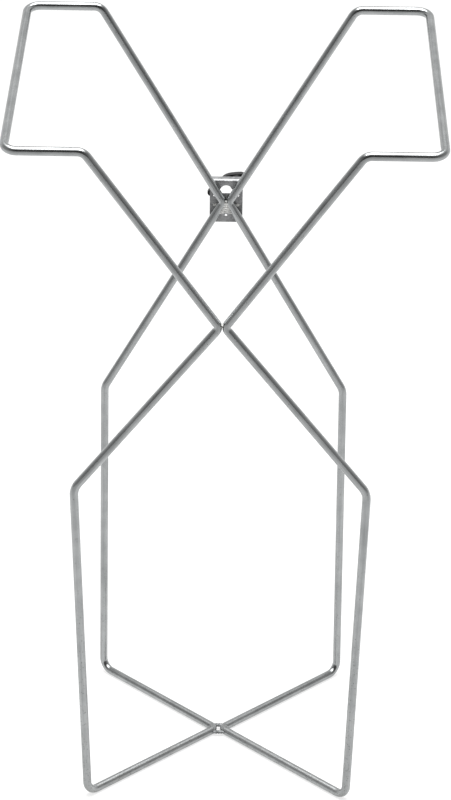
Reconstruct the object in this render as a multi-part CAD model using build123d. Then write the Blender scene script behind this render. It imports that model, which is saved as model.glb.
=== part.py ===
from build123d import *
import os
from math import cos, pi, radians, sin, tan

# A rigid stand of bent round rod. Two mirror-image loops stand back to back and are welded to each
# other at a rear waist, a front waist and the middle of the floor. A folded plate behind the rear
# waist carries a stud with a pressure washer and a hand lever.
#
# +X is to the right, +Y to the rear and +Z up. The origin is on the floor, midway between the legs.

# Rod
rod_diameter = 10.0
bend_radius = 15.0            # to the rod's centre line, at the arms and the feet
knee_bend_radius = 24.0
middle_bend_radius = 8.0      # at both waists and the middle of the floor
waist_gap = 0.2               # between the two loops at each waist
floor_gap = 4.0               # between the two loops at the middle of the floor

# Rod centre lines, as half widths from the middle and heights above the floor
frame_depth = 292.0           # rear rods to front rods
foot_half_width = 156.0
rear_knee_half_width = 150.0
front_knee_half_width = 166.0
arm_inner_half_width = 149.0
arm_outer_half_width = 234.0
knee_height = 415.0
rear_waist_height = 661.0
front_waist_height = 614.0
rear_arm_height = 898.0
front_arm_height = 811.0

# Welds
rear_lower_weld_inset = 0.3   # each face in from the rods', almost flush
vee_weld_inset = 1.75         # each face in from the rods', well inside
rear_lower_weld_depth = 19.0  # down from the waist
rear_upper_weld_depth = 8.0   # up from the waist
front_upper_weld_depth = 10.0
waist_weld_sag = 3.0          # hollow of the weld's free edge
floor_weld_radius = 2.8
floor_weld_length = 15.0
floor_weld_places = {"rear": 7.5, "front": -8.5}
plate_weld_length = 6.0       # outwards from the rod's centre line at the bead's underside
plate_weld_radius = 2.2

# Plate
sheet = 2.5
plate_gap = 0.1               # rods to plate, bridged by the welds
plate_width = 40.0
plate_height = 54.0
flange_depth = 12.0
fold_radius = 4.0             # outside of the fold
plate_corner_radius = 2.0
window_width = 16.0
window_side_height = 2.5      # upright part of each side, below the arch
window_sill = 9.0             # above the waist
hole_circle = 33.0
hole_diameter = 3.2
hole_count = 3
hole_centre_drop = 2.0        # the hole circle's centre, below the waist

# Clamp
thread_diameter = 6.0
thread_clearance = 0.05       # radial, stud to insert
stud_web = 1.0                # plate left between the window and the stud
stud_weld_size = 1.5
stud_tip_clearance = 0.5      # stud's end to the insert's, with the lever screwed fully in
clamp_travel = 6.0            # each way from the stored place, six turns of the thread
flange_clearance = 1.0        # washer below the flange
hub_flange_clearance = 0.5    # hub behind the flange, with the lever screwed fully in
washer_diameter = 16.0
washer_thickness = 2.0
washer_clearance = 0.4        # radial, on the stud
stack_clearance = 0.3         # washer to lever
insert_diameter = 10.0
insert_length = 18.0
hub_neck_diameter = 15.0
hub_length = 22.0
lever_thickness = 11.0
edge_round = 1.5
lever_outline = [             # right and up from the stud, seen from the front, clockwise from the end
    (-35.5, -15.5),
    (-33.5, -12.3),
    (-26.5, -5.5),
    (-19.5, 1.0),
    (-15.3, 5.2),
    (-9.0, 7.9),
    (0.0, 9.2),
    (7.0, 9.3),
    (11.0, 6.8),
    (11.8, 0.0),
    (9.0, -7.0),
    (3.5, -10.6),
    (-2.5, -9.8),
    (-6.6, -6.2),
    (-11.5, -4.9),
    (-17.0, -7.0),
    (-24.0, -13.2),
    (-30.0, -19.2),
    (-34.0, -18.8),
]

# Worked out from the sizes above
rod_radius = rod_diameter / 2
rear_lower_weld_thickness = rod_diameter - 2 * rear_lower_weld_inset
vee_weld_thickness = rod_diameter - 2 * vee_weld_inset
rear_y = frame_depth / 2
front_y = -frame_depth / 2
plate_front_y = rear_y + rod_radius + plate_gap
plate_rear_y = plate_front_y + sheet
plate_bottom_z = rear_waist_height - plate_height / 2
plate_top_z = plate_bottom_z + plate_height
stud_x = window_width / 2 + stud_web + thread_diameter / 2
stud_z = plate_top_z - sheet - flange_clearance - washer_diameter / 2
hub_y = plate_front_y + flange_depth + hub_flange_clearance + clamp_travel
washer_y = hub_y - stack_clearance - washer_thickness
stud_length = hub_y - plate_rear_y + insert_length - clamp_travel - stud_tip_clearance


rear_arm_inner = Vector(arm_inner_half_width, rear_y, rear_arm_height)
rear_arm_outer = Vector(arm_outer_half_width, rear_y, rear_arm_height)
front_arm_inner = Vector(arm_inner_half_width, front_y, front_arm_height)
front_arm_outer = Vector(arm_outer_half_width, front_y, front_arm_height)
rear_knee = Vector(rear_knee_half_width, rear_y, knee_height)
front_knee = Vector(front_knee_half_width, front_y, knee_height)
rear_foot = Vector(foot_half_width, rear_y, rod_radius)
front_foot = Vector(foot_half_width, front_y, rod_radius)


def inner_corner(y, z, before, after, gap):
    """Where two straight runs would meet, so that their bend stops half a gap from the middle."""
    corner = Vector(rod_radius, y, z)
    for _ in range(12):
        back = (before - corner).normalized()
        ahead = (after - corner).normalized()
        half_angle = radians(back.get_angle(ahead)) / 2
        arc_centre = corner + (back + ahead).normalized() * (middle_bend_radius / sin(half_angle))
        overshoot = arc_centre.X - middle_bend_radius - rod_radius - gap / 2
        corner = Vector(corner.X - overshoot, y, z)
    return corner


rear_waist = inner_corner(rear_y, rear_waist_height, rear_arm_inner, rear_knee, waist_gap)
front_waist = inner_corner(front_y, front_waist_height, front_arm_inner, front_knee, waist_gap)
floor_middle = inner_corner(0, rod_radius, rear_foot, front_foot, floor_gap)


def midpoint(first, second):
    return (first + second) * 0.5


def bent_path(points, radii):
    """Straight runs from point to point, with an arc of its own radius at each inner point."""
    edges = []
    start = points[0]
    for before, corner, after, radius in zip(points, points[1:], points[2:], radii):
        back = (before - corner).normalized()
        ahead = (after - corner).normalized()
        half_angle = radians(back.get_angle(ahead)) / 2
        first = corner + back * (radius / tan(half_angle))
        last = corner + ahead * (radius / tan(half_angle))
        inward = (back + ahead).normalized()
        middle = corner + inward * (radius / sin(half_angle) - radius)
        edges.append(Line(start, first))
        edges.append(ThreePointArc(first, middle, last))
        start = last
    edges.append(Line(start, points[-1]))
    return Wire(edges)


def bent_rod(points, radii):
    path = bent_path(points, radii)
    section = Plane(origin=path @ 0, z_dir=path % 0) * Circle(rod_radius)
    return sweep(section, path=path)


def mirrored(shape):
    return mirror(shape, about=Plane.YZ)


# The right loop, as four rods butt-welded in the middle of straight runs
top_arm_points = [
    midpoint(rear_arm_inner, rear_arm_outer),
    rear_arm_outer,
    front_arm_outer,
    midpoint(front_arm_inner, front_arm_outer),
]
rear_rod_points = [
    midpoint(rear_arm_inner, rear_arm_outer),
    rear_arm_inner,
    rear_waist,
    rear_knee,
    rear_foot,
    midpoint(rear_foot, floor_middle),
]
front_rod_points = [
    midpoint(front_arm_inner, front_arm_outer),
    front_arm_inner,
    front_waist,
    front_knee,
    front_foot,
    midpoint(front_foot, floor_middle),
]
floor_rod_points = [
    midpoint(rear_foot, floor_middle),
    floor_middle,
    midpoint(front_foot, floor_middle),
]
top_arm_radii = [bend_radius, bend_radius]
long_rod_radii = [bend_radius, middle_bend_radius, knee_bend_radius, bend_radius]
floor_rod_radii = [middle_bend_radius]


def vee_weld(corner, up, depth, thickness):
    """Weld metal in the vee above (up = 1) or below (up = -1) a waist, with a hollow free edge."""
    edge_z = corner.Z + up * depth
    half_width = rod_radius + depth
    outline = Polyline(
        (half_width, edge_z),
        (half_width, corner.Z),
        (-half_width, corner.Z),
        (-half_width, edge_z),
    )
    free_edge = ThreePointArc((-half_width, edge_z), (0, edge_z - up * waist_weld_sag), (half_width, edge_z))
    face = make_face(outline + free_edge)
    block = Plane.XZ.offset(-corner.Y) * extrude(face, thickness / 2, both=True)
    return block


def floor_bead(y):
    """A bead across the gap between the loops, lying left to right on the floor rods' shoulders."""
    return Pos(0, y, rod_radius) * Rot(0, 90, 0) * Cylinder(floor_weld_radius, floor_weld_length)


def between_rods(block, rods):
    """The piece of a weld block that lies nearest the middle once the rods are cut out of it."""
    pieces = (block - rods).solids()
    return min(pieces, key=lambda piece: abs(piece.center().X))


def plate_shape():
    """Upright sheet with its top folded to the rear, an arched window and a circle of holes."""
    upright = Pos(0, (plate_front_y + plate_rear_y) / 2, (plate_bottom_z + plate_top_z) / 2) * Box(
        plate_width, sheet, plate_height
    )
    flange = Pos(0, plate_front_y + flange_depth / 2, plate_top_z - sheet / 2) * Box(
        plate_width, flange_depth, sheet
    )
    plate = upright + flange
    fold_line = plate.edges().filter_by(Axis.X).sort_by(Axis.Z)[-2:].sort_by(Axis.Y)[0]
    plate = fillet(fold_line, fold_radius)
    inner_line = (
        plate.edges()
        .filter_by(Axis.X)
        .filter_by_position(Axis.Z, plate_top_z - sheet - 0.01, plate_top_z - sheet + 0.01)
        .sort_by(Axis.Y)[0]
    )
    plate = fillet(inner_line, fold_radius - sheet)
    low_corners = plate.edges().filter_by(Axis.Y).sort_by(Axis.Z)[:2]
    plate = fillet(low_corners, plate_corner_radius)

    sill_z = rear_waist_height + window_sill
    arch_radius = window_width / 2
    arch_z = sill_z + window_side_height
    sides = Pos(0, 0, (sill_z + arch_z) / 2) * Box(window_width, 3 * frame_depth, arch_z - sill_z)
    arch = Pos(0, 0, arch_z) * Rot(90, 0, 0) * Cylinder(arch_radius, 3 * frame_depth)
    above_sill = Pos(0, 0, sill_z + window_width) * Box(window_width, 3 * frame_depth, 2 * window_width)
    plate -= sides + (arch & above_sill)

    hole_centre_z = rear_waist_height - hole_centre_drop
    for index in range(hole_count):
        angle = -pi / 2 + index * 2 * pi / hole_count
        x = hole_circle / 2 * cos(angle)
        z = hole_centre_z + hole_circle / 2 * sin(angle)
        plate -= Pos(x, 0, z) * Rot(90, 0, 0) * Cylinder(hole_diameter / 2, 3 * frame_depth)
    return plate


def plate_weld():
    """A short bead along the plate, from the right-hand rod's crest outwards, below the waist."""
    lean = (rear_knee.X - rear_waist.X) / (rear_waist.Z - rear_knee.Z)
    start_x = rear_waist.X + (rod_radius + plate_weld_radius) * lean
    bead = Rot(0, 90, 0) * Cylinder(plate_weld_radius, plate_weld_length)
    bead += Pos(plate_weld_length / 2, 0, 0) * Sphere(plate_weld_radius)
    place = Pos(start_x + plate_weld_length / 2, plate_front_y, rear_waist_height - rod_radius)
    return place * bead


def along_stud(shape, y):
    """Put a shape made along +Z on the stud's axis, starting at y and running to the rear."""
    return Pos(stud_x, y, stud_z) * Rot(-90, 0, 0) * shape


def disc(diameter, length):
    return Cylinder(diameter / 2, length, align=(Align.CENTER, Align.CENTER, Align.MIN))


def tube(outer_diameter, inner_diameter, length):
    return disc(outer_diameter, length) - disc(inner_diameter, length)


def clamp_stud():
    stud = disc(thread_diameter, stud_length)
    stud = chamfer(stud.edges().group_by(Axis.Z)[-1], 1.0)
    return along_stud(stud, plate_rear_y)


def stud_weld():
    ring = Cone(
        thread_diameter / 2 + stud_weld_size,
        thread_diameter / 2,
        stud_weld_size,
        align=(Align.CENTER, Align.CENTER, Align.MIN),
    )
    return along_stud(ring - disc(thread_diameter, stud_weld_size), plate_rear_y)


def pressure_washer():
    washer = tube(washer_diameter, thread_diameter + 2 * washer_clearance, washer_thickness)
    return along_stud(washer, washer_y)


def lever_insert():
    insert = tube(insert_diameter, thread_diameter + 2 * thread_clearance, insert_length)
    return along_stud(insert, hub_y)


def hand_lever():
    """A neck round the insert, and behind it one flat moulding with a round hub and a drooping arm."""
    neck = disc(hub_neck_diameter, hub_length - lever_thickness)
    outline = Spline(*[(x, -z) for x, z in lever_outline], periodic=True)
    moulding = Pos(0, 0, hub_length - lever_thickness) * extrude(make_face(outline), lever_thickness)
    moulding = fillet(moulding.edges().group_by(Axis.Z)[-1], edge_round)
    lever = neck + moulding - disc(insert_diameter, insert_length)
    return along_stud(lever, hub_y)


right = {
    "top_arm": bent_rod(top_arm_points, top_arm_radii),
    "rear_rod": bent_rod(rear_rod_points, long_rod_radii),
    "front_rod": bent_rod(front_rod_points, long_rod_radii),
    "floor_rod": bent_rod(floor_rod_points, floor_rod_radii),
}
parts = {}
for name, rod in right.items():
    parts[name + "_right"] = rod
    parts[name + "_left"] = mirrored(rod)

rear_rods = [parts["rear_rod_right"], parts["rear_rod_left"]]
front_rods = [parts["front_rod_right"], parts["front_rod_left"]]
floor_rods = [parts["floor_rod_right"], parts["floor_rod_left"]]

rear_lower_block = vee_weld(rear_waist, -1, rear_lower_weld_depth, rear_lower_weld_thickness)
rear_upper_block = vee_weld(rear_waist, 1, rear_upper_weld_depth, vee_weld_thickness)
front_upper_block = vee_weld(front_waist, 1, front_upper_weld_depth, vee_weld_thickness)
parts["rear_waist_lower_weld"] = between_rods(rear_lower_block, rear_rods)
parts["rear_waist_upper_weld"] = between_rods(rear_upper_block, rear_rods)
parts["front_waist_weld"] = between_rods(front_upper_block, front_rods)
for place, y in floor_weld_places.items():
    parts["floor_weld_" + place] = between_rods(floor_bead(y), floor_rods)

parts["bracket_plate"] = plate_shape()
right_bead = plate_weld() - parts["bracket_plate"] - rear_rods
parts["bracket_weld_right"] = right_bead
parts["bracket_weld_left"] = mirrored(right_bead)

parts["clamp_stud"] = clamp_stud()
parts["stud_weld"] = stud_weld()
parts["pressure_washer"] = pressure_washer()
parts["lever_insert"] = lever_insert()
parts["hand_lever"] = hand_lever()

os.makedirs("parts", exist_ok=True)
for name, shape in parts.items():
    export_step(shape, "parts/" + name + ".step")
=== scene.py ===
# %% [markdown]
# # A stand of bent rod
# Two loops of 10 mm zinc-plated rod stand back to back as mirror images of each other. They are
# welded together at a rear waist, at a front waist and at the middle of the floor. A small folded
# plate behind the rear waist carries a stud with a washer and a black hand lever.
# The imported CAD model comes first, as a fixed frame. Each piece below takes its place from it, so
# nothing has to be fitted by eye.

# %% The frame
import math

import bmesh
import bpy
import numpy as np
from mathutils import Matrix, Vector


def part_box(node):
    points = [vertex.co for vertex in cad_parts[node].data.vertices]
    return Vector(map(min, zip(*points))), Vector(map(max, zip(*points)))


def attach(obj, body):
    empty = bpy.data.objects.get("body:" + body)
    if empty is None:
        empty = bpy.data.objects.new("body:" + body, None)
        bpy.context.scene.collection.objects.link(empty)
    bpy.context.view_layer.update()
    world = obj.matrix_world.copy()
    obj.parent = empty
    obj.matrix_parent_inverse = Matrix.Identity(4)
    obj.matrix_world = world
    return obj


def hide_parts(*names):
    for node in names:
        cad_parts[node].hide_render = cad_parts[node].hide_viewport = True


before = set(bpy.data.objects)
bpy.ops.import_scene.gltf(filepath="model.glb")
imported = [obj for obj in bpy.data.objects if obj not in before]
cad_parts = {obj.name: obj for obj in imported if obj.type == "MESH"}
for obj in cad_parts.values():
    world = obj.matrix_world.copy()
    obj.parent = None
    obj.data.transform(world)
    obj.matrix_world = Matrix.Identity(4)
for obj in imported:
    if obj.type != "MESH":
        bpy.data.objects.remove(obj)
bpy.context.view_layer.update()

# %% [markdown]
# ## The camera
# The stand is seen from a little above, almost square from the front, through a long lens, so that
# its upright rods stay nearly parallel. A lens is told in millimetres on a 36 mm sensor. The camera
# is placed by one matrix: yaw, then pitch, then a slight roll, because the stand is not dead level
# in the view. Three turns multiplied together keep the order plain, where three Euler numbers would
# hide it.

# %% The camera
lens = 92.98
camera_place = (0.01978, -2.24311, 1.45431)
yaw, pitch_down, roll = 0.415, 23.839, 0.769

camera = bpy.data.objects.new("camera", bpy.data.cameras.new("camera"))
bpy.context.scene.collection.objects.link(camera)
bpy.context.scene.camera = camera
camera.data.lens = lens
camera.matrix_world = (
    Matrix.Translation(camera_place)
    @ Matrix.Rotation(math.radians(yaw), 4, "Z")
    @ Matrix.Rotation(math.radians(90 - pitch_down), 4, "X")
    @ Matrix.Rotation(math.radians(roll), 4, "Z")
)
print("the camera stands", round(-camera_place[1], 2), "m in front and looks down", pitch_down, "degrees")

# %% [markdown]
# ## Shader sums as plain arithmetic
# A finish is a small sum over textures. Wired by hand in the node editor it would be dozens of Math
# nodes, and the sum itself would be lost among them. Here a thin class holds one socket and answers
# to + - * /, so that a finish reads as the sum it is. Each operator adds one Math node. The
# reflected forms let a plain number stand on the left, as in 1 - mask.


# %% A socket that does arithmetic
class Signal:
    """One output socket of a finish. Arithmetic on it adds Math nodes to the same finish."""

    def __init__(self, finish, socket):
        self.finish, self.socket = finish, socket

    def __add__(self, other):
        return self.finish.sum("ADD", self, other)

    def __sub__(self, other):
        return self.finish.sum("SUBTRACT", self, other)

    def __rsub__(self, other):
        return self.finish.sum("SUBTRACT", other, self)

    def __mul__(self, other):
        return self.finish.sum("MULTIPLY", self, other)

    __radd__, __rmul__ = __add__, __mul__


class Finish:
    """The nodes of a material or of the sky. node() makes them, and Signal makes their sums."""

    def __init__(self, name, kind=bpy.data.materials):
        self.owner = kind.new(name)
        self.owner.use_nodes = True
        self.tree = self.owner.node_tree
        self.tree.nodes.clear()

    def node(self, kind, settings=None, sockets=None, output=0):
        """Adds a node: its settings first, then its sockets' values or links. Returns one output."""
        made = self.tree.nodes.new(kind)
        for key, value in (settings or {}).items():
            setattr(made, key, value)
        for key, value in (sockets or {}).items():
            found = [s for s in made.inputs if s.identifier == key] or [made.inputs[key]]
            if isinstance(value, Signal):
                self.tree.links.new(value.socket, found[0])
            else:
                found[0].default_value = value
        return Signal(self, made.outputs[output])

    def sum(self, operation, first, second):
        return self.node("ShaderNodeMath", {"operation": operation}, {"Value": first, "Value_001": second})

    def blend(self, share, first, second):
        """A colour between two, by share."""
        ends = {"Factor_Float": share, "A_Color": first, "B_Color": second}
        mixed = self.node("ShaderNodeMix", {"data_type": "RGBA"}, ends)
        outputs = mixed.socket.node.outputs
        return Signal(self, next(s for s in outputs if s.identifier == "Result_Color"))

    def ramp(self, value, low, high):
        """0 where the value is at or under low, 1 at or over high, and a smooth rise between."""
        ends = {"Value": value, "From Min": low, "From Max": high}
        return self.node("ShaderNodeMapRange", {"interpolation_type": "SMOOTHSTEP"}, ends)

    def stretched(self, vector, scale):
        """A vector with each of its three parts multiplied by its own number."""
        parts = {"Vector": vector, "Vector_001": scale}
        return self.node("ShaderNodeVectorMath", {"operation": "MULTIPLY"}, parts)

    def noise(self, vector, scale=1.0, detail=3.0, roughness=0.5):
        """Soft noise about 0.5."""
        sockets = {"Vector": vector, "Scale": scale, "Detail": detail, "Roughness": roughness}
        return self.node("ShaderNodeTexNoise", None, sockets)

    def place(self):
        return self.node("ShaderNodeTexCoord", output="Object")

    def attribute(self, name, output="Vector"):
        return self.node("ShaderNodeAttribute", {"attribute_name": name}, output=output)

    def bump(self, height, distance, strength=1.0):
        ends = {"Height": height, "Distance": distance, "Strength": strength}
        return self.node("ShaderNodeBump", None, ends)

    def done(self, **sockets):
        """Ends the finish in one Principled shader with these sockets."""
        named = {key.replace("_", " "): value for key, value in sockets.items()}
        shader = self.node("ShaderNodeBsdfPrincipled", None, named)
        ended = self.tree.nodes.new("ShaderNodeOutputMaterial")
        self.tree.links.new(shader.socket, ended.inputs["Surface"])
        return self.owner


print("shader sums are ready")

# %% [markdown]
# ## Zinc on drawn rod
# The rod is drawn steel with a thin bright zinc plate. Drawing leaves fine lines along the rod, and
# they follow every bend. A pattern in space would run straight through the bends, so each rod
# carries its own coordinates instead: where the point would lie if the rod were unbent. Noise that
# is squeezed across the rod and stretched along it then gives lines without a seam.
# Handling leaves small dark pits and scratches, most of them low on the front legs, so a mask on
# height and depth gathers them there.

# %% The rod's finish
def wear_mask(finish):
    """1 low on the front legs and near the floor, falling to a trace higher up."""
    axes = finish.node("ShaderNodeSeparateXYZ", None, {"Vector": finish.place()})
    height = Signal(finish, axes.socket.node.outputs["Z"])
    depth = Signal(finish, axes.socket.node.outputs["Y"])
    low = 1 - finish.ramp(height, 0.02, 0.34)
    front = 1 - finish.ramp(depth, -0.12, 0.10)
    return low * (front * 0.75 + 0.25) + 0.10


def pits(finish, vector, scale, share, size):
    """1 in small round spots: one cell in a few has a spot of this size at its middle."""
    cells = finish.node("ShaderNodeTexVoronoi", None, {"Vector": vector, "Scale": scale})
    outputs = cells.socket.node.outputs
    colour = finish.node("ShaderNodeSeparateColor", None, {"Color": Signal(finish, outputs["Color"])})
    chosen = finish.sum("LESS_THAN", colour, share)
    spot = 1 - finish.ramp(Signal(finish, outputs["Distance"]), size * 0.4, size)
    return chosen * spot


def zinc_on_rod():
    zinc = Finish("zinc on drawn rod")
    unbent = zinc.attribute("unbent")
    lines = zinc.noise(zinc.stretched(unbent, (1500, 1500, 14)), detail=4, roughness=0.6)
    bands = zinc.noise(zinc.stretched(unbent, (330, 330, 9)), detail=2)
    cloud = zinc.noise(zinc.place(), scale=55, detail=4)
    wear = wear_mask(zinc)
    worn = zinc.noise(zinc.stretched(unbent, (160, 160, 60)), detail=5, roughness=0.7)
    pit = pits(zinc, zinc.stretched(unbent, (1, 1, 0.7)), 620, wear * 0.5, 0.34)
    scratches = zinc.noise(zinc.stretched(unbent, (420, 900, 130)), detail=6, roughness=0.72)
    scratch = zinc.ramp(scratches, 0.60, 0.70) * wear
    tone = lines * 0.45 + bands * 0.35 + cloud * 0.35
    colour = zinc.blend(zinc.ramp(tone, 0.36, 0.80), (0.26, 0.27, 0.272, 1), (0.425, 0.436, 0.438, 1))
    colour = zinc.blend(zinc.ramp(worn, 0.50, 0.72) * wear * 0.75, colour, (0.30, 0.30, 0.29, 1))
    colour = zinc.blend(zinc.sum("MAXIMUM", pit, scratch * 0.8), colour, (0.10, 0.098, 0.09, 1))
    bend = zinc.attribute("bend", "Fac")
    rough = 0.13 + lines * 0.08 + cloud * 0.08 + wear * 0.12 + pit * 0.3 - bend * 0.06
    height = lines * 0.35 + bands * 0.25 - pit * 1.2 - scratch * 0.8 + cloud * 0.5
    return zinc.done(
        Base_Color=colour, Metallic=1.0, Roughness=rough, Normal=zinc.bump(height, 0.00006, 0.8)
    )


rod_finish = zinc_on_rod()
print(rod_finish.name, "has", len(rod_finish.node_tree.nodes), "nodes")

# %% [markdown]
# ## From a grid of points to a piece
# Every new piece below is a surface on a grid of points: rows along it and columns around it. The
# points are worked out as one array, and the faces are the same array of numbers four times over,
# shifted by one row or column. A ring left open at an end gets one flat face over it.

# %% Grid to mesh
def skin(name, grid, closed_rows=False, ends=True):
    """Mesh of a grid (rows, columns, 3). Point (i, j) joins (i, j + 1) and (i + 1, j), and the last
    column joins the first. With closed_rows the last row joins the first too."""
    rows, columns = grid.shape[:2]
    index = np.arange(rows * columns).reshape(rows, columns)
    index = np.vstack([index, index[:1]]) if closed_rows else index
    index = np.hstack([index, index[:, :1]])
    quads = np.stack([index[:-1, :-1], index[:-1, 1:], index[1:, 1:], index[1:, :-1]], -1)
    faces = quads.reshape(-1, 4).tolist()
    if ends and not closed_rows:
        faces += [index[0, :-1].tolist(), index[-1, :-1].tolist()]
    mesh = bpy.data.meshes.new(name)
    mesh.from_pydata(grid.reshape(-1, 3), [], faces)
    piece = bpy.data.objects.new(name, mesh)
    bpy.context.scene.collection.objects.link(piece)
    return piece


def closed(piece):
    """Merges the points that lie on each other at poles, and turns every face outwards."""
    work = bmesh.new()
    work.from_mesh(piece.data)
    bmesh.ops.remove_doubles(work, verts=work.verts, dist=1e-7)
    bmesh.ops.dissolve_degenerate(work, edges=work.edges, dist=1e-8)
    bmesh.ops.recalc_face_normals(work, faces=work.faces)
    work.to_mesh(piece.data)
    work.free()
    return piece


def finished(piece, body, finish, slot, *nodes, crease=40):
    """Smooth shading with edges kept sharper than the crease angle, then the piece's body, finish
    and the CAD nodes it stands for, which are hidden. The slot argument is not used."""
    piece.data.polygons.foreach_set("use_smooth", [True] * len(piece.data.polygons))
    piece.data.set_sharp_from_angle(angle=math.radians(crease))
    piece.data.materials.clear()
    piece.data.materials.append(finish)
    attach(piece, body)
    if nodes:
        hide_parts(*nodes)
    triangles = sum(len(p.vertices) - 2 for p in piece.data.polygons)
    print(piece.name, "has", triangles, "triangles")
    return piece


print("pieces can be made")

# %% [markdown]
# ## The line of a bent rod
# A wire-bending machine pushes the rod straight and turns it round a former, so its middle line is
# straight runs joined by arcs of one radius. A curve object with handles would only come near such
# arcs. Here the line is worked out exactly: at each corner the arc starts before the corner by the
# radius over the tangent of half the corner's angle, and each point of it is the first one turned
# about the arc's axis. The side direction is turned by the same angle, so the tube never twists.

# %% Straight runs and arcs
def turned(vector, axis, angles):
    """The vector turned about the axis by each angle: its part along the axis stays, the rest goes
    as cosine times itself plus sine times axis cross itself."""
    c, s = np.cos(angles)[:, None], np.sin(angles)[:, None]
    along = axis * (axis @ vector)
    return along + (vector - along) * c + np.cross(axis, vector) * s


flattening = 9e-6


def bent_line(corners, radii, run_step=0.012, arc_steps=20):
    """Points, directions, sides, inward directions and distances along the line, how far each point
    is into a bend (0 on a run and at a bend's two ends, 1 at its middle), and how much the rod is
    flattened there, which is that times the flattening over the radius squared."""
    corners = np.asarray(corners, float)
    start, side = corners[0], np.array([0.0, 0.0, 1.0])
    rows = []

    def run(first, last, side):
        length = np.linalg.norm(last - first)
        share = np.linspace(0, 1, max(3, int(length / run_step)))[:, None]
        ahead = np.repeat([(last - first) / length], len(share), 0)
        flat = np.zeros_like(ahead)
        rows.append(np.hstack([first + (last - first) * share, ahead, flat + side, flat, flat[:, :2]]))

    for before, corner, after, radius in zip(corners, corners[1:], corners[2:], radii):
        back = (before - corner) / np.linalg.norm(before - corner)
        ahead = (after - corner) / np.linalg.norm(after - corner)
        half = math.acos(back @ ahead) / 2
        axis = np.cross(-back, ahead)
        axis /= np.linalg.norm(axis)
        first = corner + back * radius / math.tan(half)
        middle = corner + (back + ahead) / np.linalg.norm(back + ahead) * radius / math.sin(half)
        angles = np.linspace(0, math.pi - 2 * half, arc_steps)
        run(start, first, side)
        spokes = turned(first - middle, axis, angles)
        bend = np.sin(np.linspace(0, math.pi, arc_steps))[:, None] * (1, flattening / radius**2)
        sides = turned(side, axis, angles)
        rows.append(np.hstack([middle + spokes, turned(-back, axis, angles), sides, -spokes / radius, bend]))
        start, side = middle + spokes[-1], sides[-1]
    run(start, corners[-1], side)
    table = np.vstack(rows)
    steps = np.linalg.norm(np.diff(table[:, :3], axis=0), axis=1)
    keep = np.concatenate([[True], steps > 1e-7])
    distance = np.concatenate([[0], np.cumsum(steps)])[keep]
    table = table[keep]
    return table[:, :3], table[:, 3:6], table[:, 6:9], table[:, 9:12], distance, table[:, 12], table[:, 13]


right_angle = bent_line([(0, 0, 0), (0.1, 0, 0), (0.1, 0.1, 0)], [0.015])
print("a right-angled bend shortens the line from 0.2 to", round(float(right_angle[4][-1]), 4))

# %% [markdown]
# ## Where the rods run
# Most corners can be read from the CAD boxes: the rod's radius from the height of a floor rod, the
# arms' heights from the tops of the long rods, the waists' heights from the edges of their welds.
# The knees and feet lie inside those boxes, so their half widths are given as the part's own sizes.
# At a waist the bend stops a tenth of a millimetre from the middle. The corner that does this lies
# beyond it, and is found by stepping: bend, see how far the arc overshoots, and move the corner.

# %% The corners
def box_of(node):
    low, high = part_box(node)
    return np.array(low), np.array(high)


floor_low, floor_high = box_of("floor_rod_right")
arm_low, arm_high = box_of("top_arm_right")
rear_low, rear_high = box_of("rear_rod_right")
front_low, front_high = box_of("front_rod_right")

rod_radius = (floor_high[2] - floor_low[2]) / 2
rear_y = (arm_high[1] - arm_low[1]) / 2 - rod_radius
front_y = -rear_y
arm_outer = arm_high[0] - rod_radius
arm_inner = 2 * arm_low[0] - arm_outer
rear_arm_z = rear_high[2] - rod_radius
front_arm_z = front_high[2] - rod_radius
rear_waist_z = box_of("rear_waist_lower_weld")[1][2]
front_waist_z = box_of("front_waist_weld")[0][2]

bend_radius, knee_radius, middle_radius = 0.015, 0.024, 0.008
knee_z = 0.415
rear_knee, front_knee, foot = 0.150, 0.166, 0.156


def middle_corner(y, z, before, after, reach):
    """The corner whose bend comes no nearer the middle than reach, with the rod's surface."""
    corner = np.array([rod_radius, y, z])
    for _ in range(12):
        back = (before - corner) / np.linalg.norm(before - corner)
        ahead = (after - corner) / np.linalg.norm(after - corner)
        half = math.acos(back @ ahead) / 2
        middle = corner + (back + ahead) / np.linalg.norm(back + ahead) * middle_radius / math.sin(half)
        corner[0] -= middle[0] - middle_radius - rod_radius - reach
    return corner


rear_inner = np.array([arm_inner, rear_y, rear_arm_z])
rear_outer = np.array([arm_outer, rear_y, rear_arm_z])
front_inner = np.array([arm_inner, front_y, front_arm_z])
front_outer = np.array([arm_outer, front_y, front_arm_z])
rear_knee_corner = np.array([rear_knee, rear_y, knee_z])
front_knee_corner = np.array([front_knee, front_y, knee_z])
rear_foot = np.array([foot, rear_y, rod_radius])
front_foot = np.array([foot, front_y, rod_radius])
rear_waist = middle_corner(rear_y, rear_waist_z, rear_inner, rear_knee_corner, rear_low[0])
front_waist = middle_corner(front_y, front_waist_z, front_inner, front_knee_corner, front_low[0])
floor_middle = middle_corner(0, rod_radius, rear_foot, front_foot, floor_low[0])
print("rod radius", round(rod_radius, 5), "arms", round(arm_inner, 4), "to", round(arm_outer, 4))
print("waist corners", rear_waist.round(5), front_waist.round(5), floor_middle.round(5))

# %% [markdown]
# ## The rods
# Each loop is four bent rods, butt-welded in the middle of straight runs and dressed flush, so the
# joints hardly show. A circle is carried along each line. Where rod is bent it flattens against the
# former, and more so the tighter the bend, so the circle's inner half is squashed there: by a
# twenty-fifth at the arms and by a seventh at the waists. The two numbers across the rod and the
# distance along it are stored on every point for the finish. The left rods take the same corners
# with x turned about, and start their distances elsewhere, so that the two loops are not marked
# alike.

# %% Eight bent rods
around = 48


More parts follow.
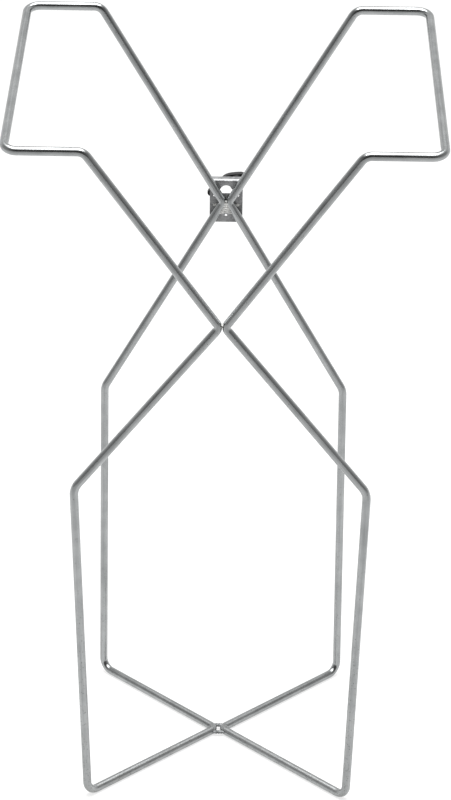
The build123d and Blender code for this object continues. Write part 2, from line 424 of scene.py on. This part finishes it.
def bent_rod(name, node, corners, radii, side, start):
    """A circle of the rod's radius carried along the line: middle point plus radius times cosine of
    the angle times the side, plus sine times the third direction, less the squash towards the bend."""
    corners = np.array(corners) * (side, 1, 1)
    middle, ahead, up, inward, distance, bend, squash = bent_line(corners, radii)
    angle = np.linspace(0, 2 * math.pi, around, endpoint=False)
    third = np.cross(ahead, up)
    ring = np.cos(angle)[:, None] * up[:, None, :] + np.sin(angle)[:, None] * third[:, None, :]
    towards = np.einsum("ijk,ik->ij", ring, inward).clip(0)
    ring = ring - squash[:, None, None] * towards[:, :, None] * inward[:, None, :]
    grid = middle[:, None, :] + rod_radius * ring
    piece = skin(name, grid)

    unbent = np.empty(grid.shape)
    unbent[..., 0] = rod_radius * np.cos(angle)
    unbent[..., 1] = rod_radius * np.sin(angle)
    unbent[..., 2] = (distance + start)[:, None]
    piece.data.attributes.new("unbent", "FLOAT_VECTOR", "POINT").data.foreach_set("vector", unbent.ravel())
    share = np.repeat(bend, around).astype(np.float32)
    piece.data.attributes.new("bend", "FLOAT", "POINT").data.foreach_set("value", share)
    closed(piece)
    low, high = box_of(node)
    drift = max(abs(grid.reshape(-1, 3).min(0) - low).max(), abs(grid.reshape(-1, 3).max(0) - high).max())
    print(name, "is", round(float(distance[-1]), 3), "m long, within", round(drift * 1000, 2), "mm of its box")
    return finished(piece, "frame", rod_finish, "zinc_rod", node)


rear_joint = (rear_inner + rear_outer) / 2
front_joint = (front_inner + front_outer) / 2
rear_floor_joint = (rear_foot + floor_middle) / 2
front_floor_joint = (front_foot + floor_middle) / 2
routes = {
    "top_arm": [rear_joint, rear_outer, front_outer, front_joint],
    "rear_rod": [rear_joint, rear_inner, rear_waist, rear_knee_corner, rear_foot, rear_floor_joint],
    "front_rod": [front_joint, front_inner, front_waist, front_knee_corner, front_foot, front_floor_joint],
    "floor_rod": [rear_floor_joint, floor_middle, front_floor_joint],
}
long_radii = [bend_radius, middle_radius, knee_radius, bend_radius]
radii = {
    "top_arm": [bend_radius, bend_radius],
    "rear_rod": long_radii,
    "front_rod": long_radii,
    "floor_rod": [middle_radius],
}
for number, (route, corners) in enumerate(routes.items()):
    bent_rod("right_" + route, route + "_right", corners, radii[route], 1, 3.0 * number)
    bent_rod("left_" + route, route + "_left", corners, radii[route], -1, 3.0 * number + 20.0)

# %% [markdown]
# ## Weld metal
# A welder fills the vee where two bends touch: the metal wets both rods, shows crosswise ripples
# where each drop froze, and ends in a hollow edge. It is duller and whiter than the rod, because
# the plate grows rougher over it. Its finish is the same zinc with more cloud and a little scale.
# Each web is a closed skin: at every height a flat oval as wide as the gap between the rods there,
# with the ripples as a wave on its thickness, rounded off towards the free edge.

# %% The weld finish
def weld_metal(name, dull, bright):
    weld = Finish(name)
    cloud = weld.noise(weld.place(), scale=420, detail=5, roughness=0.6)
    broad = weld.noise(weld.place(), scale=130, detail=3)
    speck = pits(weld, weld.place(), 900, 0.25, 0.3)
    tone = weld.ramp(cloud * 0.6 + broad * 0.6, 0.42, 0.80)
    colour = weld.blend(tone, dull, bright)
    colour = weld.blend(speck * 0.7, colour, (0.13, 0.11, 0.09, 1))
    return weld.done(
        Base_Color=colour,
        Metallic=0.85,
        Roughness=0.42 + cloud * 0.2,
        Normal=weld.bump(cloud * 0.8 + broad - speck * 0.8, 0.00025, 0.7),
    )


weld_finish = weld_metal("zinc on weld metal", (0.46, 0.46, 0.45, 1), (0.80, 0.80, 0.78, 1))
# The floor beads get a darker copy of this weld metal: its darkness is painted shade, where they lie low
# between the rods.
shaded_weld_finish = weld_metal("zinc weld metal with painted shade", (0.10, 0.105, 0.107, 1), (0.36, 0.37, 0.375, 1))
print(weld_finish.name, "has", len(weld_finish.node_tree.nodes), "nodes")


# %% Webs between the rods
def inner_edge(corners):
    """Half width of the gap and height along a loop's side facing the middle: the line's points
    moved towards the middle by the rod's radius, square to the line."""
    middle, ahead, *_ = bent_line(corners, [middle_radius], run_step=0.004, arc_steps=60)
    square = np.stack([ahead[:, 2], np.zeros(len(ahead)), -ahead[:, 0]], 1)
    square *= -np.sign(square[:, :1] + 1e-12)
    edge = middle + rod_radius * square
    order = np.argsort(edge[:, 2])
    return edge[order, 2], edge[order, 0]


def weld_web(name, node, corners, waist, up, sag, ripples, ripple, bite):
    """Ovals stacked from the waist to the free edge. Half width is the gap's there plus a bite into
    the rods, thickness follows a wave, and the height droops by sag times one less width squared."""
    low, high = box_of(node)
    depth, half_thick = high[2] - low[2], (high[1] - low[1]) / 2
    heights, widths = inner_edge(corners)
    share = np.linspace(0, 1, 70)[:, None]
    angle = np.linspace(0, 2 * math.pi, 64, endpoint=False)[None, :]
    across = np.sign(np.cos(angle)) * np.abs(np.cos(angle)) ** 0.8
    through = np.sign(np.sin(angle)) * np.abs(np.sin(angle)) ** 0.7
    level = waist[2] + up * depth * share
    width = np.interp(level, heights, widths) + bite
    end = np.sqrt(np.clip(1 - ((share - 0.86) / 0.14).clip(0, 1) ** 2, 0, 1))
    wave = 1 + ripple * np.sin(2 * math.pi * (ripples * share - 0.55 * across**2))
    x = width * across
    y = waist[1] + half_thick * 0.88 * wave * end * through
    z = level - up * sag * share * (1 - across**2)
    piece = closed(skin(name, np.stack([x + 0 * y, y, z + 0 * y], -1), ends=False))
    return finished(piece, "frame", weld_finish, "zinc_weld", node, crease=60)


rear_line, front_line = routes["rear_rod"][1:4], routes["front_rod"][1:4]
weld_web("rear_lower_web", "rear_waist_lower_weld", rear_line, rear_waist, -1, 0.003, 5, 0.035, 0.0046)
weld_web("rear_upper_web", "rear_waist_upper_weld", rear_line, rear_waist, 1, 0.003, 3, 0.11, 0.0018)
weld_web("front_upper_web", "front_waist_weld", front_line, front_waist, 1, 0.003, 4, 0.10, 0.0014)

# %% [markdown]
# ## Beads
# The other welds are single short runs: two bridge the gap between the loops on the floor, and one
# on each side holds the plate to its rod. A bead is a round line of drops. It is turned about a
# straight line with a radius that swells to its middle and carries a wave, one wave to each drop.


# %% Bead welds
def bead(name, node, start, end, radius, flat, drops, finish):
    """Rings square to the line from start to end. A ring's radius is the bead's, times the fourth
    root of one less the distance from its middle to the fourth, times a wave, and its height is
    that times flat."""
    start, end = np.array(start), np.array(end)
    share = np.linspace(-1, 1, 64)[:, None]
    angle = np.linspace(0, 2 * math.pi, 28, endpoint=False)[None, :]
    size = radius * np.clip(1 - share**4, 0, 1) ** 0.4
    size = size * (1 + 0.09 * np.sin(math.pi * drops * share + 0.5 * np.cos(angle)))
    ahead = (end - start) / np.linalg.norm(end - start)
    rise = np.array([0.0, 0.0, 1.0])
    out = np.cross(ahead, rise)
    line = (start + end) / 2 + (end - start) / 2 * share[:, :, None]
    ring = size[:, :, None] * (np.cos(angle)[..., None] * out + flat * np.sin(angle)[..., None] * rise)
    piece = closed(skin(name, line + ring, ends=False))
    return finished(piece, "frame", finish, "zinc_weld", node, crease=60)


for place in ("rear", "front"):
    low, high = box_of("floor_weld_" + place)
    level, reach, depth = (low[2] + high[2]) / 2, high[0] + 0.0005, (low[1] + high[1]) / 2
    radius = (high[2] - low[2]) / 2 * 0.95
    start, end = (-reach, depth, level), (reach, depth, level)
    # The floor beads take the darker weld copy, whose darkness is painted shade.
    bead("floor_bead_" + place, "floor_weld_" + place, start, end, radius, 0.8, 5, shaded_weld_finish)

for side, name in ((1, "right"), (-1, "left")):
    low, high = box_of("bracket_weld_" + name)
    inner, outer = (low[0], high[0]) if side > 0 else (high[0], low[0])
    level, radius = (low[2] + high[2]) / 2, (high[2] - low[2]) / 2
    surface = high[1]
    start, end = (inner - side * 0.001, surface, level), (outer, surface, level)
    bead("plate_bead_" + name, "bracket_weld_" + name, start, end, radius * 0.92, 1.0, 7, weld_finish)

# %% [markdown]
# ## The plate
# The plate is 2.5 mm sheet with its top edge folded to the rear, an arched window and three small
# holes. Its CAD shape is right and only its edges are too keen: a punched and tumbled edge is worn
# to a fraction of a millimetre. A copy of the CAD mesh is made whole by merging its points and
# flattened into large faces, then the Bevel modifier rounds every edge sharper than 35 degrees.
# The finish is satin zinc on rolled sheet. It is greyer than the rod, faintly crystalline, and
# rubbed along one direction.


# %% The sheet's finish
def zinc_on_sheet():
    zinc = Finish("zinc on rolled sheet")
    place = zinc.place()
    grain = zinc.noise(zinc.stretched(place, (260, 260, 1900)), detail=4, roughness=0.6)
    cloud = zinc.noise(place, scale=75, detail=4)
    cells = zinc.node("ShaderNodeTexVoronoi", None, {"Vector": place, "Scale": 330.0})
    crystal = Signal(zinc, cells.socket.node.outputs["Color"])
    shade = zinc.node("ShaderNodeSeparateColor", None, {"Color": crystal})
    speck = pits(zinc, place, 700, 0.10, 0.3)
    tone = grain * 0.3 + cloud * 0.55 + shade * 0.22
    colour = zinc.blend(zinc.ramp(tone, 0.32, 0.78), (0.20, 0.203, 0.206, 1), (0.42, 0.425, 0.43, 1))
    colour = zinc.blend(speck * 0.6, colour, (0.07, 0.068, 0.06, 1))
    return zinc.done(
        Base_Color=colour,
        Metallic=1.0,
        Roughness=0.36 + grain * 0.10 + cloud * 0.12 + shade * 0.05,
        Normal=zinc.bump(grain * 0.4 + cloud * 0.6 - speck, 0.00008, 0.7),
    )


sheet_finish = zinc_on_sheet()
print(sheet_finish.name, "has", len(sheet_finish.node_tree.nodes), "nodes")


# %% A whole copy of a CAD node
def whole_copy(name, node, edge):
    """The node's triangles with shared points, flat faces joined and keen edges rounded by edge."""
    piece = bpy.data.objects.new(name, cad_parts[node].data.copy())
    bpy.context.scene.collection.objects.link(piece)
    work = bmesh.new()
    work.from_mesh(piece.data)
    bmesh.ops.remove_doubles(work, verts=work.verts, dist=2e-6)
    bmesh.ops.dissolve_limit(work, angle_limit=math.radians(0.5), verts=work.verts, edges=work.edges)
    work.to_mesh(piece.data)
    work.free()
    piece.data.attributes.remove(piece.data.attributes["custom_normal"]) if "custom_normal" in (
        piece.data.attributes
    ) else None
    bevel = piece.modifiers.new("worn edges", "BEVEL")
    bevel.width, bevel.segments, bevel.limit_method = edge, 3, "ANGLE"
    bevel.angle_limit = math.radians(35)
    bevel.harden_normals = True
    return piece


plate = whole_copy("folded_plate", "bracket_plate", 0.00035)
finished(plate, "frame", sheet_finish, "zinc_sheet", "bracket_plate", crease=35)

# %% [markdown]
# ## The clamp's stud
# A 6 mm threaded stud is welded to the rear of the plate. A thread is a helix, and in a grid that
# is easy: rings are stacked along the stud, and each point's radius depends on its height less its
# share of the turn. A modelled thread turns into stripes of moire if its rows are too few, so there
# are sixteen rows to each millimetre of pitch. The weld round its foot is the same idea bent into a
# ring: a fillet with a wave round it.


# %% The hardware's finish
def zinc_on_hardware():
    zinc = Finish("zinc on hardware")
    fine = zinc.noise(zinc.place(), scale=900, detail=3)
    cloud = zinc.noise(zinc.place(), scale=160, detail=4)
    colour = zinc.blend(zinc.ramp(cloud, 0.35, 0.7), (0.50, 0.51, 0.50, 1), (0.68, 0.68, 0.66, 1))
    return zinc.done(
        Base_Color=colour,
        Metallic=1.0,
        Roughness=0.22 + cloud * 0.14 + fine * 0.06,
        Normal=zinc.bump(fine * 0.5 + cloud, 0.00004, 0.6),
    )


hardware_finish = zinc_on_hardware()
stud_low, stud_high = box_of("clamp_stud")
axis_x, axis_z = (stud_low[0] + stud_high[0]) / 2, (stud_low[2] + stud_high[2]) / 2
print("the stud's axis is at x", round(axis_x, 5), "z", round(axis_z, 5))


# %% Stud and its weld
def about_axis(radius, depth, turns):
    """Rings about the stud's axis: x is its x plus radius times cosine, z its z plus sine."""
    x = axis_x + radius * np.cos(turns)
    z = axis_z + radius * np.sin(turns)
    return np.stack(np.broadcast_arrays(x, depth, z), -1)


thread_pitch, thread_depth = 0.001, 0.00055
stud_radius = (stud_high[0] - stud_low[0]) / 2
rows = np.linspace(stud_low[1], stud_high[1], int((stud_high[1] - stud_low[1]) / thread_pitch * 16))[:, None]
turns = np.linspace(0, 2 * math.pi, 48, endpoint=False)[None, :]
phase = (rows / thread_pitch - turns / (2 * math.pi)) % 1
crest = np.clip(1.35 * (1 - np.abs(2 * phase - 1)), 0.1, 1) - 1
taper = np.minimum(stud_radius, stud_radius - 0.001 + (stud_high[1] - rows))
foot_plain = np.clip((rows - stud_low[1] - 0.0016) / 0.001, 0, 1)
shank = np.minimum(stud_radius + thread_depth * crest * foot_plain, taper)
stud = closed(skin("threaded_stud", about_axis(shank, rows, turns)))
finished(stud, "frame", hardware_finish, "zinc_hardware", "clamp_stud", crease=50)

ring_low, ring_high = box_of("stud_weld")
ring_size = (ring_high[0] - ring_low[0]) / 2 - stud_radius
share = np.linspace(0, 1, 14)[:, None] * math.pi / 2
turns = np.linspace(0, 2 * math.pi, 120, endpoint=False)[None, :]
wave = 0.92 + 0.08 * np.sin(13 * turns + 2 * share)
ring_bite = 0.0003
reach = stud_radius - ring_bite + (ring_size + ring_bite) * (1 - np.sin(share)) * wave
height = ring_low[1] + ring_size * (1 - np.cos(share)) * wave
inside = about_axis(reach[:1] * 0 + 0.0027, height[:1] * 0 + ring_low[1], turns)
profile = np.concatenate([about_axis(reach, height, turns), inside])
ring = closed(skin("stud_weld_ring", profile, closed_rows=True))
finished(ring, "frame", weld_finish, "zinc_weld", "stud_weld", crease=60)

# %% [markdown]
# ## Washer and insert
# The pressure washer is a stamped ring: one edge is rolled over by the punch and the other is
# crisp. Here a rounded outline turned about the stud's axis rounds all four of its corners alike. The
# brass insert is buried in the lever's hub, so its CAD shape stays, with a machined finish whose lines run
# round.


# %% Pressure washer
def rolled(corners, radius):
    """Distance from the axis and depth along a closed outline whose corners are arcs."""
    corners = np.array([(a, 0.0, b) for a, b in corners])
    start = (corners[:1] + corners[-1:]) / 2
    loop = np.vstack([start, corners, start])
    line = bent_line(loop, [radius] * len(corners), run_step=0.0006, arc_steps=6)[0]
    return line[:-1, 0], line[:-1, 2]


washer_low, washer_high = box_of("pressure_washer")
washer_radius = (washer_high[0] - washer_low[0]) / 2
washer_clearance, washer_edge = 0.0004, 0.0004
washer_hole = stud_radius + washer_clearance
outline = [
    (washer_hole, washer_low[1]),
    (washer_radius, washer_low[1]),
    (washer_radius, washer_high[1]),
    (washer_hole, washer_high[1]),
]
reach, depth = rolled(outline, washer_edge)
turns = np.linspace(0, 2 * math.pi, 96, endpoint=False)[None, :]
washer = closed(skin("washer_ring", about_axis(reach[:, None], depth[:, None], turns), closed_rows=True))
finished(washer, "clamp_washer", hardware_finish, "zinc_hardware", "pressure_washer", crease=50)


# %% Brass insert
def brass_finish():
    brass = Finish("machined brass")
    lines = brass.noise(brass.stretched(brass.place(), (60, 3000, 60)), detail=3)
    cloud = brass.noise(brass.place(), scale=200, detail=3)
    colour = brass.blend(brass.ramp(cloud, 0.35, 0.7), (0.60, 0.43, 0.19, 1), (0.74, 0.56, 0.28, 1))
    return brass.done(
        Base_Color=colour,
        Metallic=1.0,
        Roughness=0.25 + lines * 0.12 + cloud * 0.08,
        Normal=brass.bump(lines, 0.00003, 0.6),
    )


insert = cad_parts["lever_insert"]
insert.data.materials.clear()
insert.data.materials.append(brass_finish())
print("the insert keeps its CAD shape")

# %% [markdown]
# ## The hand lever
# The lever is one moulding of black nylon: a short neck round the insert, and behind it a flat body
# with a round hub and an arm that droops to its end. Such a free outline is drawn as points and a
# smooth closed curve through them. A moulding has no keen inner corner anywhere, because plastic
# would not fill it. So the neck and the body are made as two closed skins that run into each other,
# and the Remesh modifier covers both in one skin of small squares. A Smooth modifier then draws the
# inner corners out into fillets, and a Boolean bores the seat for the insert, crisp as a drill does.


# %% Black nylon
def black_nylon():
    nylon = Finish("black moulded nylon")
    grain = nylon.noise(nylon.place(), scale=2600, detail=3, roughness=0.6)
    cloud = nylon.noise(nylon.place(), scale=110, detail=4)
    rubbed = nylon.ramp(cloud, 0.52, 0.75)
    colour = nylon.blend(rubbed, (0.006, 0.006, 0.0065, 1), (0.018, 0.018, 0.019, 1))
    return nylon.done(
        Base_Color=colour,
        Specular_IOR_Level=0.25,
        Roughness=0.34 + grain * 0.16 + rubbed * 0.10,
        Normal=nylon.bump(grain, 0.00005, 0.55),
    )


nylon_finish = black_nylon()
print(nylon_finish.name, "has", len(nylon_finish.node_tree.nodes), "nodes")

# %% Neck and body
insert_low, insert_high = box_of("lever_insert")
lever_rear = box_of("hand_lever")[1][1]
neck_radius, body_thick, edge_round = 0.0075, 0.011, 0.0017
lever_points = [
    (-35.5, -15.5),
    (-33.5, -12.3),
    (-26.5, -5.5),
    (-19.5, 1.0),
    (-15.3, 5.2),
    (-9.0, 7.9),
    (0.0, 9.2),
    (7.0, 9.3),
    (11.0, 6.8),
    (11.8, 0.0),
    (9.0, -7.0),
    (3.5, -10.6),
    (-2.5, -9.8),
    (-6.6, -6.2),
    (-11.5, -4.9),
    (-17.0, -7.0),
    (-24.0, -13.2),
    (-30.0, -19.2),
    (-34.0, -18.8),
]


def smooth_outline(points, steps=10):
    """A closed curve through the points. Between two of them it is a cubic in t that leaves the
    first and meets the second along the line joining each one's two neighbours."""
    p = np.asarray(points, float)[:, None, :]
    t = np.linspace(0, 1, steps, endpoint=False)[None, :, None]
    before, after, beyond = np.roll(p, 1, 0), np.roll(p, -1, 0), np.roll(p, -2, 0)
    square = (2 * before - 5 * p + 4 * after - beyond) * t**2
    cube = (3 * p - before - 3 * after + beyond) * t**3
    return ((2 * p + (after - before) * t + square + cube) / 2).reshape(-1, 2)


outline = smooth_outline(lever_points) / 1000
along = np.roll(outline, -1, 0) - np.roll(outline, 1, 0)
along /= np.linalg.norm(along, axis=1)[:, None]
outward = np.stack([-along[:, 1], along[:, 0]], 1)
turn = np.linspace(0, math.pi / 2, 6)
front_inset, rear_inset = 0.5 * edge_round * (1 - np.sin(turn)), edge_round * (1 - np.sin(turn[::-1]))
front_depth = lever_rear - body_thick + 0.5 * edge_round * (1 - np.cos(turn))
rear_depth = lever_rear - edge_round * (1 - np.cos(turn[::-1]))
straight = np.linspace(front_depth[-1], rear_depth[0], 8)[1:-1]
inset = np.concatenate([front_inset, 0 * straight, rear_inset])[:, None, None]
depth = np.concatenate([front_depth, straight, rear_depth])
flat = outline[None] - inset * outward[None]
body = np.stack([axis_x + flat[..., 0], depth[:, None] + 0 * flat[..., 0], axis_z + flat[..., 1]], -1)


def turned_skin(outline, columns=96):
    """A closed skin: an outline of (radius, depth) with rounded corners turned about the stud."""
    line = np.array([(a, 0.0, b) for a, b in outline])
    points = bent_line(line, [0.0009] * (len(line) - 2), run_step=0.0012, arc_steps=7)[0]
    turns = np.linspace(0, 2 * math.pi, columns, endpoint=False)[None, :]
    return about_axis(points[:, :1].clip(0), points[:, 2:3], turns)


neck_end = lever_rear - 0.002
neck = turned_skin([(0, insert_low[1]), (neck_radius, insert_low[1]), (neck_radius, neck_end), (0, neck_end)])
bore = (insert_high[0] - insert_low[0]) / 2
drill_start = insert_low[1] - 0.001
drill_ends = np.array([[drill_start], [insert_high[1]]])
drill = about_axis(bore, drill_ends, np.linspace(0, 2 * math.pi, 96)[None, :-1])
print("the body's outline has", len(outline), "points and the neck", neck.shape[:2])

# %% One moulding
def merged(name, pieces):
    """The closed skins in one mesh."""
    work = bmesh.new()
    for piece in pieces:
        work.from_mesh(piece.data)
        bpy.data.objects.remove(piece)
    mesh = bpy.data.meshes.new(name)
    work.to_mesh(mesh)
    work.free()
    whole = bpy.data.objects.new(name, mesh)
    bpy.context.scene.collection.objects.link(whole)
    return whole


lever = merged("nylon_lever", [closed(skin("body", body)), closed(skin("neck", neck))])
cutter = closed(skin("drill", drill))
remesh = lever.modifiers.new("one skin", "REMESH")
remesh.mode, remesh.voxel_size, remesh.adaptivity = "VOXEL", 0.00042, 0
smooth = lever.modifiers.new("fillets", "SMOOTH")
smooth.factor, smooth.iterations = 0.5, 6
seat = lever.modifiers.new("seat for the insert", "BOOLEAN")
seat.operation, seat.object, seat.solver = "DIFFERENCE", cutter, "EXACT"
graph = bpy.context.evaluated_depsgraph_get()
moulding = bpy.data.meshes.new_from_object(lever.evaluated_get(graph))
lever.modifiers.clear()
lever.data = moulding
bpy.data.objects.remove(cutter)
finished(lever, "lever", nylon_finish, "black_plastic", "hand_lever", crease=60)

# %% [markdown]
# ## Floor and light
# The stand is set on a white floor that runs out of sight, under one very large soft light. The floor itself
# glows: painted light that washes out the rods' shadows on it and grows dimmer towards the camera.
# Shiny rod shows what is around it more than it shows light, so what the rod mirrors matters most:
# a bright ceiling draws the white line along its top, a dim band behind the camera draws the dark
# line below that, and the white floor fills its underside. A pale wall behind the stand lights the
# arms that run front to back. The sky is therefore two ramps, on the height of the view ray and on
# how far it points to the rear. The camera itself sees plain white where the sky would be.

# %% The floor
floor_mesh = bpy.data.meshes.new("floor")
reach = 30.0
corners = [(-reach, -reach, 0), (reach, -reach, 0), (reach, reach, 0), (-reach, reach, 0)]
floor_mesh.from_pydata(corners, [], [(0, 1, 2, 3)])
floor = bpy.data.objects.new("floor", floor_mesh)
bpy.context.scene.collection.objects.link(floor)

pale = Finish("pale floor")
speckle = pale.noise(pale.place(), scale=30, detail=2)
tone = pale.blend(speckle, (0.30, 0.30, 0.30, 1), (0.32, 0.32, 0.32, 1))
depth = pale.node("ShaderNodeSeparateXYZ", None, {"Vector": pale.place()}, "Y")
# Painted light: the floor's glow is 0.40 in front and 0.70 behind the stand, so the rods mirror a dimmer floor
# towards the camera and cast no visible shadow on it.
painted_floor_light = 0.40 + pale.ramp(depth, -1.3, -0.15) * 0.30
floor_mesh.materials.append(
    pale.done(Base_Color=tone, Roughness=0.9, Emission_Color=(1, 1, 1, 1), Emission_Strength=painted_floor_light)
)
print("the floor is", 2 * reach, "m across")

# %% The sky and the lights
sky = Finish("studio", bpy.data.worlds)
ray = sky.node("ShaderNodeTexCoord", output="Generated")
parts = sky.node("ShaderNodeSeparateXYZ", None, {"Vector": ray}).socket.node.outputs
sideways, rearwards, upwards = [Signal(sky, parts[name]) for name in "XYZ"]
ceiling = sky.ramp(upwards, 0.70, 0.95)
behind = sky.ramp(rearwards, 0.0, 0.7)
walls = sideways * sideways * 0.5 + behind * 0.8
brightness = 0.05 + ceiling * 1.9 + walls * (1 - ceiling)
lit = sky.node("ShaderNodeBackground", None, {"Color": (1, 1, 1, 1), "Strength": brightness})
plain = sky.node("ShaderNodeBackground", None, {"Color": (1, 1, 1, 1)})
seen = sky.node("ShaderNodeLightPath", output="Is Camera Ray")
mixed = sky.node("ShaderNodeMixShader", None, {"Fac": seen, "Shader": lit, "Shader_001": plain})
ended = sky.tree.nodes.new("ShaderNodeOutputWorld")
sky.tree.links.new(mixed.socket, ended.inputs["Surface"])
bpy.context.scene.world = sky.owner


def soft_light(name, place, aim, width, power):
    """A square light of that width at place, facing aim."""
    lamp = bpy.data.lights.new(name, "AREA")
    lamp.shape, lamp.size, lamp.energy = "SQUARE", width, power
    made = bpy.data.objects.new(name, lamp)
    bpy.context.scene.collection.objects.link(made)
    made.location = place
    made.rotation_mode = "QUATERNION"
    made.rotation_quaternion = (Vector(aim) - Vector(place)).to_track_quat("-Z", "Y")
    return made


soft_light("overhead", (0, 0, 3.4), (0, 0, 0), 2.3, 90)
bpy.context.scene.view_settings.view_transform = "Standard"
print("one overhead light and a graded sky")
